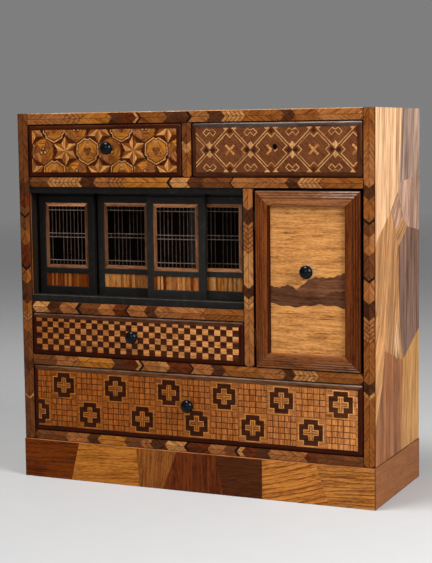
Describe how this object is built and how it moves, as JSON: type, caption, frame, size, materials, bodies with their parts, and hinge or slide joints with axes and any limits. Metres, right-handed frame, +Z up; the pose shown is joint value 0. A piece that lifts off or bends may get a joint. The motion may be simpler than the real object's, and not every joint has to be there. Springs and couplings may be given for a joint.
{
  "type": "marquetry cabinet",
  "caption": "Small free-standing marquetry cabinet with knobbed drawers, lattice sliding doors on a grooved track and a hinged panel door, on a low plinth.",
  "frame": {"origin": "on the floor, in the middle of the overall box, knobs included", "axes": "+X to the right seen from the front, -Y out of the front, +Z up"},
  "size_m": [0.366, 0.1492, 0.3592],
  "materials": {
    "tan_parquetry": "satin varnished parquetry of several woods",
    "chevron_marquetry": "satin varnished chevron marquetry",
    "red_brown_wood": "satin varnish",
    "moulding_wood": "satin varnish",
    "dark_border_wood": "satin varnish",
    "lattice_wood": "oiled",
    "striped_wood": "satin varnished stripes",
    "picture_wood": "satin varnished inlay",
    "plain_wood": "bare, planed",
    "black_lacquer": "black lacquer, satin",
    "ebony": "polished",
    "brass": "aged"
  },
  "bodies": {
    "case": {"left_side": "tan_parquetry", "right_side": "tan_parquetry", "top_board": "tan_parquetry", "bottom_board": "plain_wood", "back_panel": "plain_wood", "upper_shelf": "plain_wood", "middle_shelf": "plain_wood", "lower_shelf": "plain_wood", "upper_partition": "chevron_marquetry", "lower_partition": "plain_wood", "left_lipping": "chevron_marquetry", "right_lipping": "chevron_marquetry", "top_lipping": "chevron_marquetry", "upper_shelf_lipping": "chevron_marquetry", "middle_shelf_lipping": "chevron_marquetry", "lower_shelf_lipping": "chevron_marquetry", "bottom_lipping": "chevron_marquetry", "partition_lipping": "chevron_marquetry", "plinth_front": "tan_parquetry", "plinth_left": "red_brown_wood", "plinth_right": "red_brown_wood", "head_track": "black_lacquer", "sill_track": "black_lacquer", "upper_hinge_case_leaf": "brass", "lower_hinge_case_leaf": "brass"},
    "star_drawer": {"star_drawer_front": "dark_border_wood", "star_drawer_knob": "ebony", "star_drawer_tray": "plain_wood", "star_drawer_bottom": "plain_wood"},
    "diamond_drawer": {"diamond_drawer_front": "dark_border_wood", "diamond_drawer_tray": "plain_wood", "diamond_drawer_bottom": "plain_wood"},
    "checker_drawer": {"checker_drawer_front": "dark_border_wood", "checker_drawer_knob": "ebony", "checker_drawer_tray": "plain_wood", "checker_drawer_bottom": "plain_wood"},
    "medallion_drawer": {"medallion_drawer_front": "dark_border_wood", "medallion_drawer_knob": "ebony", "medallion_drawer_tray": "plain_wood", "medallion_drawer_bottom": "plain_wood"},
    "slider_1": {"slider_1_frame": "black_lacquer", "slider_1_lattice": "lattice_wood", "slider_1_waist_panel": "striped_wood"},
    "slider_2": {"slider_2_frame": "black_lacquer", "slider_2_lattice": "lattice_wood", "slider_2_waist_panel": "striped_wood"},
    "slider_3": {"slider_3_frame": "black_lacquer", "slider_3_lattice": "lattice_wood", "slider_3_waist_panel": "striped_wood"},
    "slider_4": {"slider_4_frame": "black_lacquer", "slider_4_lattice": "lattice_wood", "slider_4_waist_panel": "striped_wood"},
    "door": {"door_left_moulding": "moulding_wood", "door_right_moulding": "moulding_wood", "door_top_moulding": "moulding_wood", "door_bottom_moulding": "moulding_wood", "door_panel": "picture_wood", "door_knob": "ebony", "upper_hinge_door_leaf": "brass", "lower_hinge_door_leaf": "brass"}
  },
  "joints": [
    {"name": "star_drawer_slide", "type": "slide", "parent": "case", "child": "star_drawer", "axis": [0, -1, 0], "range_m": [0, 0.1]},
    {"name": "diamond_drawer_slide", "type": "slide", "parent": "case", "child": "diamond_drawer", "axis": [0, -1, 0], "range_m": [0, 0.1]},
    {"name": "checker_drawer_slide", "type": "slide", "parent": "case", "child": "checker_drawer", "axis": [0, -1, 0], "range_m": [0, 0.1]},
    {"name": "medallion_drawer_slide", "type": "slide", "parent": "case", "child": "medallion_drawer", "axis": [0, -1, 0], "range_m": [0, 0.1]},
    {"name": "slider_1_slide", "type": "slide", "parent": "case", "child": "slider_1", "axis": [1, 0, 0], "range_m": [-0.0033, 0.057]},
    {"name": "slider_2_slide", "type": "slide", "parent": "case", "child": "slider_2", "axis": [1, 0, 0], "range_m": [-0.0647, 0]},
    {"name": "slider_3_slide", "type": "slide", "parent": "case", "child": "slider_3", "axis": [1, 0, 0], "range_m": [0, 0.0443]},
    {"name": "slider_4_slide", "type": "slide", "parent": "case", "child": "slider_4", "axis": [1, 0, 0], "range_m": [-0.037, 0.0029]},
    {"name": "door_hinge", "type": "hinge", "parent": "case", "child": "door", "pos_m": [0.0673, -0.06135, 0.20485], "axis": [0, 0, -1], "range_deg": [0, 90]}
  ]
}
